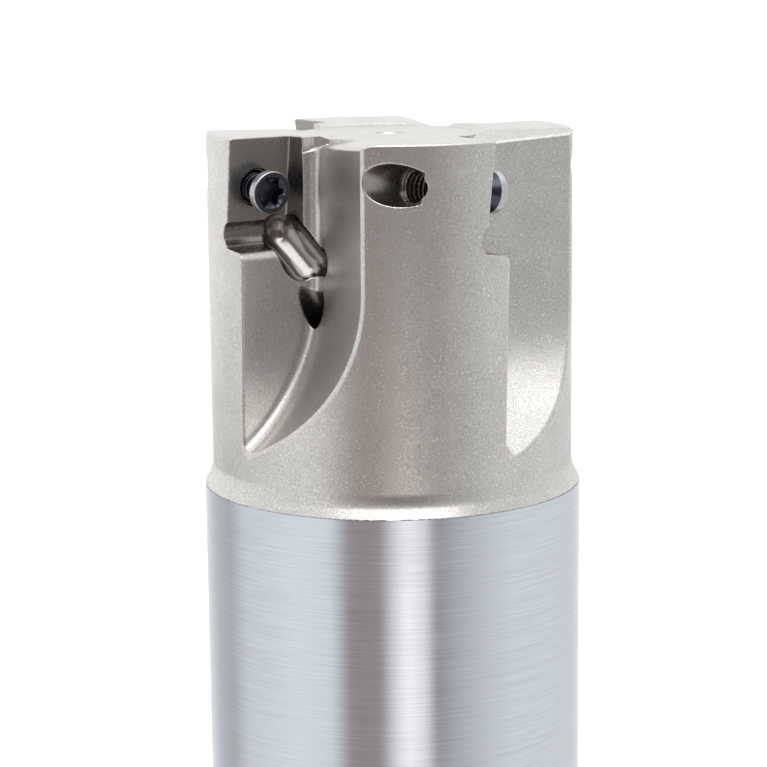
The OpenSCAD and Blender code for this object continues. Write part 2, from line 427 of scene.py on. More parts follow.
@dataclass
class MillHead:
    """The plated head: four teeth with gullets, insert pockets, screw bores and coolant."""

    overall_length: float = 150.0
    length: float = 29.7
    radius: float = 15.3
    shank_radius: float = 16.0
    shoulder_height: float = 1.1
    shoulder_step: float = 0.12
    shoulder_fillet: float = 0.3
    first_tooth_angle: float = 33.0
    tooth_count: int = 4
    top_edge_break: float = 0.25
    gullet_edge_break: float = 0.26
    pocket_edge_break: float = 0.12
    bore_edge_break: float = 0.1
    facet_edge_break: float = 0.05
    groove_edge_break: float = 0.05
    ball_edge_break: float = 0.08
    dish_edge_break: float = 0.06

    dish_radius: float = 7.7
    dish_rim_radius: float = 8.2
    dish_depth: float = 0.3
    dish_rim_round: float = 0.15
    centre_hole_r: float = 1.25
    centre_pilot_r: float = 0.5
    centre_hole_depth: float = 1.3
    centre_pilot_depth: float = 2.6

    floor_offset: float = 1.73
    floor_tilt: float = 1.5
    wall_reach: float = 8.0
    wall_lean: float = 12.2
    root_radius: float = 1.1
    runout_start: float = 11.6
    runout_radius: float = 17.7

    side_wall_reach: float = 9.72
    side_wall_lean: float = 9.0
    side_wall_root: float = 0.12
    pocket_height: float = 4.0
    ledge_depth: float = 8.95
    ledge_radius: float = 1.1
    ledge_run_out: tuple[float, float] = (1.0, 0.6)
    groove_radius: float = 1.1
    groove_offset: float = -0.29
    ball_radius: float = 1.77
    ball_centre: tuple[float, float, float] = (10.62, 0.15, -7.92)
    ball_run: float = 3.3
    ball_tilt: float = 135.7
    ball_turn: float = 117.9

    coolant_bore_r: float = 4.0
    coolant_bore_cover: float = 19.0
    coolant_hole_r: float = 1.0
    coolant_exit: tuple[float, float, float] = (8.8, 2.0, -13.8)
    coolant_turn: float = 25.0
    coolant_rise: float = 56.0
    coolant_run_in: float = 12.0
    coolant_run_out: float = 4.0

    facet_start: tuple[float, float] = (9.07, 12.3)
    facet_turn: float = 29.7
    facet_slope: float = 12.4
    facet_length: float = 9.5
    facet_width: float = 8.0

    thread_scale: float = 0.7
    thread_flat: float = 1.35
    thread_flank: float = 3.0
    thread_fade: float = 0.15
    thread_fade_run: float = 3.2
    cell: float = 0.11
    margin: float = 0.3
    cut_tolerance: float = 0.03
    screw_seat: ScrewSeat = field(default_factory=ScrewSeat)

    def turned_blank(self, points: Points) -> Distance:
        """Returns the distance to the turned head before any tooth is cut."""
        radius, height = np.hypot(points[:, 0], points[:, 1]), points[:, 2]
        run = self.shank_radius - self.radius - self.shoulder_step
        slant = math.hypot(run, self.shoulder_height)
        above_edge = height + self.length
        cone = ((radius - self.shank_radius) * self.shoulder_height + above_edge * run) / slant
        body = either(radius - self.radius, cone, self.shoulder_fillet)
        body = both(body, height, self.top_edge_break)
        body = both(body, -above_edge)
        bore = both(radius - self.coolant_bore_r, height + self.coolant_bore_cover)
        return cut(cut(body, bore), self.end_face(radius, height), self.dish_edge_break)

    def end_face(self, radius: Distance, height: Distance) -> Distance:
        """Returns the distance to the dish and centre hole in the cutting end."""
        above = height + self.dish_depth
        rise = self.dish_rim_radius - self.dish_radius
        slant = math.hypot(rise, self.dish_depth)
        rim = ((radius - self.dish_radius) * self.dish_depth - above * rise) / slant
        dish = both(rim, -above, self.dish_rim_round)
        widening = self.centre_hole_r - self.centre_pilot_r
        slant = math.hypot(widening, self.centre_hole_depth)
        cone = (radius - self.centre_hole_r) * self.centre_hole_depth - above * widening
        hole = both(cone / slant, -above - self.centre_hole_depth)
        pilot = both(radius - self.centre_pilot_r, -above - self.centre_pilot_depth)
        return either(dish, either(hole, pilot))

    def gullet(self, points: Points) -> Distance:
        """Returns the distance to a tooth's chip gullet."""
        local = tilted(points - [0, self.floor_offset, 0], -self.floor_tilt, "X")
        across = self.wall_reach + self.runout_radius - local[:, 0]
        below = np.minimum(local[:, 2] + self.runout_start, 0)
        lean = math.radians(self.wall_lean)
        inset = self.runout_radius - local[:, 1] * math.tan(lean)
        wall = (np.hypot(np.maximum(across, 0), below) - inset) * math.cos(lean)
        return both(wall, -local[:, 1], self.root_radius)

    def pocket(self, points: Points) -> Distance:
        """Returns the distance to a tooth's insert pocket."""
        offset = [0, self.screw_seat.seat_offset, 0]
        local = tilted(points - offset, -self.screw_seat.axial_rake, "X")
        lean = math.radians(self.side_wall_lean)
        side = self.side_wall_reach - local[:, 1] * math.tan(lean) - local[:, 0]
        corner = both(-local[:, 1], side * math.cos(lean), self.side_wall_root)
        corner = both(corner, local[:, 1] - self.pocket_height)
        return both(corner, -self.ledge_depth - local[:, 2])

    def ledge_corner(self, points: Points) -> Distance:
        """Returns the distance to what the rounding of the ledge's outer corner removes."""
        floor = self.floor_offset - self.ledge_depth * math.tan(math.radians(self.floor_tilt))
        ahead = points[:, 1] - floor + self.ledge_radius
        above = points[:, 2] + self.ledge_depth + self.ledge_radius
        outside = self.ledge_radius - np.hypot(ahead, above)
        forward, upward = self.ledge_run_out
        band = both(
            slab(ahead, 0, self.ledge_radius + forward), slab(above, 0, self.ledge_radius + upward)
        )
        return both(both(outside, band), self.side_wall_reach - points[:, 0])

    def groove(self, points: Points) -> Distance:
        """Returns the distance to the relief groove along the ledge."""
        ahead = points[:, 1] - self.groove_offset
        above = points[:, 2] + self.ledge_depth - self.groove_radius
        inside_wall = self.side_wall_reach - points[:, 0]
        return both(np.hypot(ahead, above) - self.groove_radius, inside_wall)

    def ball_relief(self, points: Points) -> Distance:
        """Returns the distance to the ball-ended relief in the pocket's corner."""
        run = aimed(self.ball_turn, 90 - self.ball_tilt)
        offset = points - np.array(self.ball_centre)
        travel = np.clip(offset @ run, 0, self.ball_run)
        return np.linalg.norm(offset - travel[:, None] * run, axis=1) - self.ball_radius

    def screw_bore(self, points: Points) -> Distance:
        """Returns the distance to a screw's threaded bore with its wider ends."""
        seat = self.screw_seat
        place = np.array(seat.place())
        local = (points - place[:3, 3]) @ place[:3, :3]
        travel, beside = local[:, 2], np.hypot(local[:, 0], local[:, 1])
        turns = np.arctan2(local[:, 1], local[:, 0]) / (2 * math.pi)
        phase = np.mod(travel / seat.thread_pitch - turns, 1.0)
        groove = np.clip(self.thread_flat - self.thread_flank * np.abs(phase - 0.5), 0.0, 1.0)
        depth = seat.thread_root_r - seat.thread_crest_r
        fade = self.thread_fade
        threaded = np.clip((travel + seat.thread_end) / self.thread_fade_run + fade, fade, 1.0)
        thread = (beside - seat.thread_crest_r - depth * groove * threaded) * self.thread_scale
        mouth = both(beside - seat.mouth_r, -travel - seat.mouth_depth)
        rear = both(beside - seat.rear_bore_r, travel + seat.thread_end)
        return np.minimum(np.minimum(thread, mouth), rear)

    def coolant_hole(self, points: Points) -> Distance:
        """Returns the distance to the coolant hole into a gullet."""
        run = aimed(self.coolant_turn, self.coolant_rise)
        travel, beside = along(points, np.array(self.coolant_exit), run)
        reach = slab(travel, -self.coolant_run_in, self.coolant_run_out)
        return both(beside - self.coolant_hole_r, reach)

    def facet(self, points: Points) -> Distance:
        """Returns the distance to the facet behind the next tooth."""
        start = [self.facet_start[0], self.facet_start[1], 0]
        local = tilted(points - start, -self.facet_turn, "Z")
        local = tilted(local, self.facet_slope, "Y")
        across = both(-local[:, 2], slab(local[:, 0], 0, self.facet_width))
        wedge = both(across, -self.facet_length - local[:, 1])
        wedge = both(wedge, self.floor_offset - points[:, 1])
        radius = np.hypot(points[:, 0], points[:, 1])
        return both(wedge, self.dish_radius - radius)

    def tooth_points(self, points: Points) -> tuple[Points, Points]:
        """Returns points in the frames of the nearest tooth and of the tooth before it."""
        step = 360 / self.tooth_count
        heading = np.degrees(np.arctan2(points[:, 1], points[:, 0])) - self.first_tooth_angle
        tooth = np.round(heading / step)
        turned = np.radians(self.first_tooth_angle + step * tooth)
        x = points[:, 0] * np.cos(turned) + points[:, 1] * np.sin(turned)
        y = points[:, 1] * np.cos(turned) - points[:, 0] * np.sin(turned)
        quarter = math.radians(step)
        ahead_x = x * math.cos(quarter) - y * math.sin(quarter)
        ahead_y = x * math.sin(quarter) + y * math.cos(quarter)
        height = points[:, 2]
        return np.stack([x, y, height], 1), np.stack([ahead_x, ahead_y, height], 1)

    def rule(self, points: Points) -> Distance:
        """Returns the distance to the finished head."""
        near, before = self.tooth_points(points)
        body = self.turned_blank(points)
        facets = np.minimum(self.facet(near), self.facet(before))
        gullets = np.minimum(self.gullet(near), self.gullet(before))
        body = cut(body, facets, self.facet_edge_break)
        body = cut(body, gullets, self.gullet_edge_break)
        body = cut(body, self.pocket(near), self.pocket_edge_break)
        body = cut(body, self.ledge_corner(near))
        body = cut(body, self.groove(near), self.groove_edge_break)
        body = cut(body, self.ball_relief(near), self.ball_edge_break)
        body = cut(body, self.coolant_hole(near), self.bore_edge_break)
        body = cut(body, self.coolant_hole(before), self.bore_edge_break)
        return cut(body, self.screw_bore(near), self.bore_edge_break)

    def kinds(self, points: Points) -> np.ndarray:
        """Returns which kind of surface each point of the head's surface lies on."""
        near, before = self.tooth_points(points)
        kinds = np.full(len(points), Surface.BLASTED.value)
        milled_painted_dark = np.minimum(np.abs(self.pocket(near)), np.abs(self.groove(near)))
        milled_painted_dark = np.minimum(milled_painted_dark, np.abs(self.screw_bore(near)))
        # Milled faces take a darker colour: painted shade for the dark surroundings that they
        # mirror.
        kinds[milled_painted_dark < self.cut_tolerance] = Surface.MILLED.value
        # Polished faces take a darker colour: painted shade for the dark surroundings that they
        # mirror.
        kinds[np.abs(self.ball_relief(near)) < self.cut_tolerance] = Surface.POLISHED.value
        hole = np.minimum(np.abs(self.coolant_hole(near)), np.abs(self.coolant_hole(before)))
        kinds[hole < self.cut_tolerance] = Surface.MILLED.value
        return kinds

    def trim(self, mesh: bpy.types.Mesh) -> None:
        """Moves the few vertices that lie a hair outside the head's size onto its surface."""
        places, _ = mesh_arrays(mesh)
        radius = np.hypot(places[:, 0], places[:, 1])
        places[:, :2] *= (self.shank_radius / np.maximum(radius, self.shank_radius))[:, None]
        places[:, 2] = np.clip(places[:, 2], -self.length, 0.0)
        mesh.vertices.foreach_set("co", places.astype(np.float32).ravel())

    def build(self, materials: dict[Surface, bpy.types.Material]) -> bpy.types.Object:
        """Builds the head.

        Args:
            materials: The material of each kind of surface.

        Returns:
            The head, standing for its share of the one-piece body.
        """
        half, bottom = self.shank_radius + self.margin, -self.length - self.margin
        low, high = (-half, -half, bottom), (half, half, self.margin)
        mesher = GridMesher(self.rule, low, high, self.cell)
        mesh = mesher.mesh("mill_head")
        vertices, corners = mesh_arrays(mesh)
        self.trim(mesh)
        for kind in Surface:
            mesh.materials.append(materials[kind])
        kinds = self.kinds(vertices[corners].mean(1))
        mesh.polygons.foreach_set("material_index", kinds.astype(np.int32))
        head = piece("mill_head", mesh, Matrix.Translation((0, 0, self.overall_length)))
        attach(head, "mill_body")
        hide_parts("mill_body")
        return head


# ---------------------------------------------------------------------------------------
# Shank
# ---------------------------------------------------------------------------------------


@dataclass
class MillShank:
    """The ground shank below the head, with its coolant bore."""

    radius: float = 16.0
    height: float = 120.3
    end_chamfer: float = 1.0
    bore_r: float = 4.0
    bore_chamfer: float = 1.5
    edge_break: float = 0.12
    segments: int = 288

    def outline(self) -> list[tuple[float, float]]:
        """Returns the shank's closed outline as (radius, height), with the metal on its left."""
        soft = self.edge_break
        slant = soft * math.sqrt(0.5)
        return [
            (self.bore_r, self.height),
            (self.bore_r, self.bore_chamfer),
            (self.bore_r + self.bore_chamfer, 0.0),
            (self.radius - self.end_chamfer - soft, 0.0),
            (self.radius - self.end_chamfer + slant * 0.4, slant * 0.6),
            (self.radius - slant * 0.6, self.end_chamfer - slant * 0.4),
            (self.radius, self.end_chamfer + soft),
            (self.radius, self.height),
        ]

    def build(self, material: bpy.types.Material) -> bpy.types.Object:
        """Builds the shank.

        Args:
            material: The ground finish.

        Returns:
            The shank, standing for its share of the one-piece body.
        """
        outline = np.array(self.outline())
        count = len(outline)
        turns = np.arange(self.segments) * 2 * math.pi / self.segments
        rings = [(r * np.cos(turns), r * np.sin(turns), np.full(len(turns), z)) for r, z in outline]
        vertices = np.concatenate([np.stack(ring, 1) for ring in rings])
        faces = []
        for ring in range(count):
            low = ring * self.segments + np.arange(self.segments)
            high = (ring + 1) % count * self.segments + np.arange(self.segments)
            faces.append(np.stack([low, np.roll(low, -1), np.roll(high, -1), high], 1))
        mesh = mesh_from_arrays("mill_shank", vertices, np.concatenate(faces)[:, ::-1])
        mesh.polygons.foreach_set("use_smooth", np.ones(len(mesh.polygons), dtype=bool))
        mesh.set_sharp_from_angle(angle=math.radians(30))
        mesh.materials.append(material)
        shank = piece("mill_shank", mesh)
        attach(shank, "mill_body")
        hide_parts("mill_body")
        return shank


# ---------------------------------------------------------------------------------------
# Node trees
# ---------------------------------------------------------------------------------------


class NodeWriter:
    """A node tree that is written one node at a time."""

    def __init__(self, tree: bpy.types.NodeTree) -> None:
        """Starts with an empty tree."""
        self.tree = tree
        tree.nodes.clear()

    def node(self, kind: str, settings: dict | None = None, **sockets: object) -> bpy.types.Node:
        """Adds a node.

        Args:
            kind: The node's type.
            settings: The node's own properties.
            **sockets: A value or a linked socket for each input, by its name with underscores
                for spaces, or by its number after an underscore.

        Returns:
            The node.
        """
        node = self.tree.nodes.new(kind)
        for key, value in (settings or {}).items():
            setattr(node, key, value)
        for key, value in sockets.items():
            socket = node.inputs[int(key[1:]) if key[1:].isdigit() else key.replace("_", " ")]
            if isinstance(value, bpy.types.NodeSocket):
                self.tree.links.new(value, socket)
            else:
                socket.default_value = value
        return node

    def math(
        self, operation: str, a: object, b: object = 0.0, c: object = 0.0
    ) -> bpy.types.NodeSocket:
        """Returns the result of a sum of values."""
        return self.node("ShaderNodeMath", {"operation": operation}, _0=a, _1=b, _2=c).outputs[0]


class ShapeTree(NodeWriter):
    """A Geometry Nodes tree with named inputs."""

    def __init__(self, name: str, inputs: dict[str, tuple[str, float | tuple]]) -> None:
        """Starts the tree.

        Args:
            name: Name of the tree.
            inputs: For each named input, its kind of socket and its value.
        """
        super().__init__(bpy.data.node_groups.new(name, "GeometryNodeTree"))
        self.values = {key: value for key, (_, value) in inputs.items()}
        face = self.tree.interface
        face.new_socket("Geometry", in_out="INPUT", socket_type="NodeSocketGeometry")
        for key, (kind, _) in inputs.items():
            face.new_socket(key, in_out="INPUT", socket_type="NodeSocket" + kind)
        face.new_socket("Geometry", in_out="OUTPUT", socket_type="NodeSocketGeometry")
        self.start = self.tree.nodes.new("NodeGroupInput")
        self.end = self.tree.nodes.new("NodeGroupOutput")

    def input(self, name: str) -> bpy.types.NodeSocket:
        """Returns a named input's socket inside the tree."""
        return self.start.outputs[name]

    def upward(self, height: object) -> bpy.types.NodeSocket:
        """Returns a vector along Z."""
        return self.node("ShaderNodeCombineXYZ", Z=height).outputs[0]

    def moved(
        self, shape: bpy.types.NodeSocket, shift: object, turn: object = (0, 0, 0)
    ) -> bpy.types.NodeSocket:
        """Returns a shape turned and then shifted."""
        node = self.node("GeometryNodeTransform", Geometry=shape, Translation=shift, Rotation=turn)
        return node.outputs[0]

    def joined(self, *shapes: bpy.types.NodeSocket) -> bpy.types.NodeSocket:
        """Returns shapes as one."""
        node = self.tree.nodes.new("GeometryNodeJoinGeometry")
        for shape in shapes:
            self.tree.links.new(shape, node.inputs[0])
        return node.outputs[0]

    def finish(
        self, shape: bpy.types.NodeSocket, material: bpy.types.Material,
        mark: str, marked_material: bpy.types.Material,
    ) -> None:
        """Ends the tree with real geometry in its materials.

        Args:
            shape: The geometry.
            material: The material of most faces.
            mark: The face attribute of the other faces.
            marked_material: The material of those faces.
        """
        real = self.node("GeometryNodeRealizeInstances", Geometry=shape)
        dressed = self.node("GeometryNodeSetMaterial", Geometry=real.outputs[0], Material=material)
        marked = self.node("GeometryNodeInputNamedAttribute", {"data_type": "BOOLEAN"}, Name=mark)
        dressed = self.node(
            "GeometryNodeSetMaterial", Geometry=dressed.outputs[0],
            Selection=marked.outputs[0], Material=marked_material,
        )
        self.tree.links.new(dressed.outputs[0], self.end.inputs[0])

    def run(self, name: str, mesh: bpy.types.Mesh, **changes: float) -> bpy.types.Mesh:
        """Runs the tree on a mesh.

        Args:
            name: Name of the result.
            mesh: The mesh that goes in.
            **changes: Inputs that differ from the tree's own values, underscores for spaces.

        Returns:
            The plain mesh that comes out.
        """
        carrier = bpy.data.objects.new(name + "_carrier", mesh)
        bpy.context.scene.collection.objects.link(carrier)
        modifier = carrier.modifiers.new(self.tree.name, "NODES")
        modifier.node_group = self.tree
        values = dict(self.values)
        values.update({key.replace("_", " "): value for key, value in changes.items()})
        for item in self.tree.interface.items_tree:
            if item.in_out == "INPUT" and item.name in values:
                modifier[item.identifier] = values[item.name]
        result = baked(carrier, name)
        carrier.modifiers.remove(modifier)
        bpy.data.objects.remove(carrier)
        return result


def add_thread(
    tree: ShapeTree, length: object, pitch: object, radius: object, ridge: object
) -> bpy.types.NodeSocket:
    """Adds a right-hand thread ridge that climbs along Z from the origin.

    Args:
        tree: The tree that the nodes go into.
        length: Length of the thread.
        pitch: Advance for one turn.
        radius: Radius of the ridge's middle line.
        ridge: Radius of the ridge's six-sided section.

    Returns:
        The ridge.
    """
    turns = tree.math("DIVIDE", length, pitch)
    spiral = tree.node(
        "GeometryNodeCurveSpiral", Resolution=32, Rotations=turns,
        Start_Radius=radius, End_Radius=radius, Height=length, Reverse=False,
    )
    section = tree.node("GeometryNodeCurvePrimitiveCircle", Resolution=6, Radius=ridge)
    swept = tree.node(
        "GeometryNodeCurveToMesh", Curve=spiral.outputs[0],
        Profile_Curve=section.outputs[0], Fill_Caps=True,
    )
    return swept.outputs[0]


# ---------------------------------------------------------------------------------------
# Insert screws and their threads
# ---------------------------------------------------------------------------------------


@dataclass
class InsertScrew:
    """One countersunk insert screw with a six-lobe socket."""

    head_r: float = 1.75
    rim_height: float = 0.7
    cone_half_angle: float = 30.0
    shaft_r: float = 1.2
    core_r: float = 1.04
    neck: float = 0.35
    length: float = 6.5
    pitch: float = 0.45
    tip_chamfer: float = 0.35
    socket_r: float = 1.2
    socket_lobe_r: float = 0.25
    socket_root_r: float = 0.88
    socket_depth: float = 1.2
    socket_chamfer: float = 0.22
    socket_flare: float = 0.8
    socket_widening: float = 0.1
    lobe_fillet: float = 0.12
    socket_floor_fillet: float = 0.05
    rim_break: float = 0.14
    edge_break: float = 0.03
    neck_fillet: float = 0.15
    rim_highlight_band: tuple[float, float] = (0.11, 0.02)
    ridge_share: float = 0.62
    thread_gap: float = 0.25
    cell: float = 0.05
    margin: float = 0.2
    triangles: int = 36_000
    seat: ScrewSeat = field(default_factory=ScrewSeat)

    def socket(self, points: Points) -> Distance:
        """Returns the distance to the six-lobe socket with its chamfered mouth."""
        radius = np.hypot(points[:, 0], points[:, 1])
        lobe = np.mod(np.arctan2(points[:, 1], points[:, 0]) + math.pi / 6, math.pi / 3)
        x, y = radius * np.cos(lobe - math.pi / 6), radius * np.sin(lobe - math.pi / 6)
        middle = self.socket_r - self.socket_lobe_r
        arm = np.hypot(np.maximum(x - middle, 0), y) - self.socket_lobe_r
        star = either(radius - self.socket_root_r, arm, self.lobe_fillet)
        above = points[:, 2] + self.socket_chamfer
        mouth = star - np.maximum(above, 0) * self.socket_flare
        cone = (radius - self.socket_r - self.socket_widening - points[:, 2]) * math.sqrt(0.5)
        well = both(mouth, -self.socket_depth - points[:, 2], self.socket_floor_fillet)
        return either(well, both(cone, -above))

    def rule(self, points: Points) -> Distance:
        """Returns the distance to the screw without its thread ridge."""
        radius, height = np.hypot(points[:, 0], points[:, 1]), points[:, 2]
        half = math.radians(self.cone_half_angle)
        below = height + self.rim_height
        under = (radius - self.head_r) * math.cos(half) - below * math.sin(half)
        head = both(both(radius - self.head_r, height, self.rim_break), under, self.edge_break)
        shaft = both(radius - self.core_r, below)
        tip = (radius - self.core_r - height - self.length + self.tip_chamfer) * math.sqrt(0.5)
        shaft = both(both(shaft, -height - self.length), tip)
        whole = either(head, shaft, self.neck_fillet)
        return cut(whole, self.socket(points), self.edge_break)

    def mark_rim_highlight(self, mesh: bpy.types.Mesh) -> None:
        """Marks the faces of the straight rim, which take a brighter material as a painted
        highlight.
        """
        vertices, corners = mesh_arrays(mesh)
        middle = vertices[corners].mean(1)
        depth, below_top = self.rim_highlight_band
        outside = np.hypot(middle[:, 0], middle[:, 1]) > self.head_r - depth
        straight = (middle[:, 2] > -self.rim_height) & (middle[:, 2] < -below_top)
        rim = mesh.attributes.new("rim", "BOOLEAN", "FACE")
        rim.data.foreach_set("value", outside & straight)

    def placing(self, material: bpy.types.Material, rim_highlight_material: bpy.types.Material) -> ShapeTree:
        """Returns the tree that adds the thread to a screw and stands it on its seat.

        Args:
            material: The screw's finish.
            rim_highlight_material: The brighter material of the head's straight rim, a painted
                highlight.

        Returns:
            The tree, whose Tooth Angle input picks the tooth.
        """
        seat = self.seat.place()
        cone = (self.head_r - self.shaft_r) / math.tan(math.radians(self.cone_half_angle))
        thread_top = self.rim_height + cone + self.neck
        ridge = (self.shaft_r - self.core_r) * self.ridge_share
        tree = ShapeTree("threaded screw on its seat", {
            "Standoff": ("Float", self.seat.standoff),
            "Pitch": ("Float", self.pitch),
            "Thread Length": ("Float", self.length - thread_top - self.thread_gap),
            "Thread Top": ("Float", thread_top),
            "Ridge Radius": ("Float", ridge),
            "Ridge Place": ("Float", self.shaft_r - ridge),
            "Seat Place": ("Vector", tuple(seat.translation)),
            "Seat Turn": ("Vector", tuple(seat.to_euler("XYZ"))),
            "Tooth Angle": ("Float", 0.0),
        })
        length, top = tree.input("Thread Length"), tree.input("Thread Top")
        place, radius = tree.input("Ridge Place"), tree.input("Ridge Radius")
        thread = add_thread(tree, length, tree.input("Pitch"), place, radius)
        sunk = tree.math("MULTIPLY", tree.math("ADD", length, top), -1.0)
        thread = tree.moved(thread, tree.upward(sunk))
        whole = tree.joined(tree.input("Geometry"), thread)
        lifted = tree.moved(whole, tree.upward(tree.input("Standoff")))
        seated = tree.moved(lifted, tree.input("Seat Place"), tree.input("Seat Turn"))
        turned = tree.moved(seated, (0, 0, 0), tree.upward(tree.input("Tooth Angle")))
        tree.finish(turned, material, "rim", rim_highlight_material)
        return tree

    def build(
        self, head: MillHead, material: bpy.types.Material, rim_highlight_material: bpy.types.Material
    ) -> list[bpy.types.Object]:
        """Builds one screw for each tooth.

        Args:
            head: The head that the screws stand in.
            material: The screws' finish.
            rim_highlight_material: The brighter material of the head's straight rim, a painted
                highlight.

        Returns:
            The screws, each riding on its own body.
        """
        side, bottom = self.head_r + self.margin, -self.length - self.margin
        low, high = (-side, -side, bottom), (side, side, self.margin)
        master = GridMesher(self.rule, low, high, self.cell).mesh("insert_screw", self.triangles)
        self.mark_rim_highlight(master)
        tree = self.placing(material, rim_highlight_material)
        place = Matrix.Translation((0, 0, head.overall_length))
        screws = []
        for number in range(head.tooth_count):
            angle = math.radians(head.first_tooth_angle + 360 / head.tooth_count * number)
            mesh = tree.run(f"screw_{number + 1}", master, Tooth_Angle=angle)
            name = f"insert_screw_{number + 1}"
            screw = piece(f"clamping_screw_{number + 1}", mesh, place)
            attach(screw, name)
            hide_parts(name)
            screws.append(screw)
        return screws


# ---------------------------------------------------------------------------------------
# Finishes
# ---------------------------------------------------------------------------------------


class ShaderTree(NodeWriter):
    """The tree of a material, of the surrounding light or of a shader group."""

    def ranged(
        self, value: object, low: object, high: object, to_low: object, to_high: object
    ) -> bpy.types.NodeSocket:
        """Returns a value moved smoothly from one range to another."""
        node = self.node(
            "ShaderNodeMapRange", {"interpolation_type": "SMOOTHSTEP"},
            Value=value, From_Min=low, From_Max=high, To_Min=to_low, To_Max=to_high,
        )
        return node.outputs[0]

    def mixed(self, factor: object, a: object, b: object) -> bpy.types.NodeSocket:
        """Returns a mix of two colours."""
        node = self.node("ShaderNodeMix", {"data_type": "RGBA"}, _0=factor, _6=a, _7=b)
        return node.outputs[2]

    def show(self, shader: bpy.types.Node, kind: str = "ShaderNodeOutputMaterial") -> None:
        """Ends the tree with a shader."""
        self.node(kind, Surface=shader.outputs[0])


def new_material(name: str) -> tuple[bpy.types.Material, ShaderTree]:
    """Returns a new material and its empty tree."""
    material = bpy.data.materials.new(name)
    material.use_nodes = True
    return material, ShaderTree(material.node_tree)


def new_group(
    name: str, inputs: dict[str, tuple[str, float]], outputs: tuple[str, ...]
) -> tuple[ShaderTree, bpy.types.Node, bpy.types.Node]:
    """Starts a shader node group.

    Args:
        name: Name of the group.
        inputs: For each named input, its kind of socket and its usual value.
        outputs: The names of the outputs, which are all single values.

    Returns:
        The group, its input node and its output node.
    """
    group = bpy.data.node_groups.new(name, "ShaderNodeTree")
    for key, (kind, value) in inputs.items():
        socket = group.interface.new_socket(key, in_out="INPUT", socket_type="NodeSocket" + kind)
        if kind == "Float":
            socket.default_value = value
    for key in outputs:
        group.interface.new_socket(key, in_out="OUTPUT", socket_type="NodeSocketFloat")
    shader = ShaderTree(group)
    return shader, shader.node("NodeGroupInput"), shader.node("NodeGroupOutput")


CLOUD_SHARE = 0.25
SPARKLE_SCALE = 0.6
SPARKLE_CHANCE = (0.86, 0.97)
SPARKLE_HEIGHT = 0.8


def grain_group() -> bpy.types.NodeTree:
    """Returns the group that makes the fine grain of a blasted and plated surface."""
    shader, start, end = new_group(
        "blasted grain",
        {"Vector": ("Vector", 0.0), "Grain Size": ("Float", 0.12), "Cloud Size": ("Float", 3.0)},
        ("Height", "Tone", "Sparkle"),
    )
    per_mm = shader.math("DIVIDE", 1000.0, start.outputs["Grain Size"])
    vector = start.outputs["Vector"]
    cloud_per_mm = shader.math("DIVIDE", 1000.0, start.outputs["Cloud Size"])
    grain, cloud = (
        shader.node(
            "ShaderNodeTexNoise", Vector=vector, Scale=scale, Detail=detail, Roughness=rough
        )
        for scale, detail, rough in ((per_mm, 4.0, 0.8), (cloud_per_mm, 2.0, 0.5))
    )
    fine = shader.ranged(grain.outputs[0], 0.32, 0.68, 0.0, 1.0)
    clouded = shader.math("MULTIPLY", cloud.outputs[0], CLOUD_SHARE)
    tone = shader.math("MULTIPLY_ADD", fine, 1 - CLOUD_SHARE, clouded)
    coarse = shader.math("MULTIPLY", per_mm, SPARKLE_SCALE)
    cells = shader.node("ShaderNodeTexVoronoi", Vector=vector, Scale=coarse)
    chance = shader.node("ShaderNodeSeparateColor", Color=cells.outputs["Color"]).outputs[0]
    middle = shader.ranged(cells.outputs["Distance"], 0.1, 0.45, 1.0, 0.0)
    sparkle = shader.math("MULTIPLY", shader.ranged(chance, *SPARKLE_CHANCE, 0.0, 1.0), middle)
    height = shader.math("MULTIPLY_ADD", sparkle, SPARKLE_HEIGHT, grain.outputs[0])
    shader.tree.links.new(height, end.inputs["Height"])
    shader.tree.links.new(tone, end.inputs["Tone"])
    shader.tree.links.new(sparkle, end.inputs["Sparkle"])
    return shader.tree


def lines_group() -> bpy.types.NodeTree:
    """Returns the group that makes fine lines around the tool's axis."""
    shader, start, end = new_group(
        "turned lines",
        {"Vector": ("Vector", 0.0), "Line Width": ("Float", 0.15), "Band Width": ("Float", 4.0)},
        ("Height", "Band"),
    )
    split = shader.node("ShaderNodeSeparateXYZ", Vector=start.outputs["Vector"])
    angle = shader.math("ARCTAN2", split.outputs[1], split.outputs[0])
    round_x, round_y = shader.math("COSINE", angle), shader.math("SINE", angle)
    layers = (("Line Width", "Height", 2.0, 2.2), ("Band Width", "Band", 1.0, 0.7))
    for width, output, detail, stretch in layers:
        per_mm = shader.math("DIVIDE", 1000.0, start.outputs[width])
        along_axis = shader.math("MULTIPLY", split.outputs[2], per_mm)
        place = shader.node(
            "ShaderNodeCombineXYZ", X=shader.math("MULTIPLY", round_x, stretch),
            Y=shader.math("MULTIPLY", round_y, stretch), Z=along_axis,
        )
        noise = shader.node(
            "ShaderNodeTexNoise", Vector=place.outputs[0], Scale=1.0, Detail=detail
        )
        shader.tree.links.new(noise.outputs[0], end.inputs[output])
    return shader.tree


@dataclass(frozen=True)
class MetalFinish:
    """A metal surface whose colour, gloss and relief follow a fine texture.

    Attributes:
        name: Name of the material.
        dark: Colour of the texture's low places.
        light: Colour of its high places.
        roughness: Lowest and highest roughness.
        texture_mm: Size of the grain, or width of the lines.
        bump_mm: Height of the relief.
    """

    name: str
    dark: tuple[float, float, float, float]
    light: tuple[float, float, float, float]
    roughness: tuple[float, float]
    texture_mm: float
    bump_mm: float

    def _dress(
        self, shader: ShaderTree, colour: object, roughness: object, height: object
    ) -> None:
        """Ends a material's tree with the metal.

        Args:
            shader: The material's tree.
            colour: The colour over the surface.
            roughness: The roughness over the surface.
            height: The relief over the surface.
        """
        bump = shader.node(
            "ShaderNodeBump", Height=height, Distance=self.bump_mm * MM, Strength=1.0
        )
        shader.show(shader.node(
            "ShaderNodeBsdfPrincipled", Base_Color=colour, Metallic=1.0,
            Roughness=roughness, Normal=bump.outputs[0],
        ))


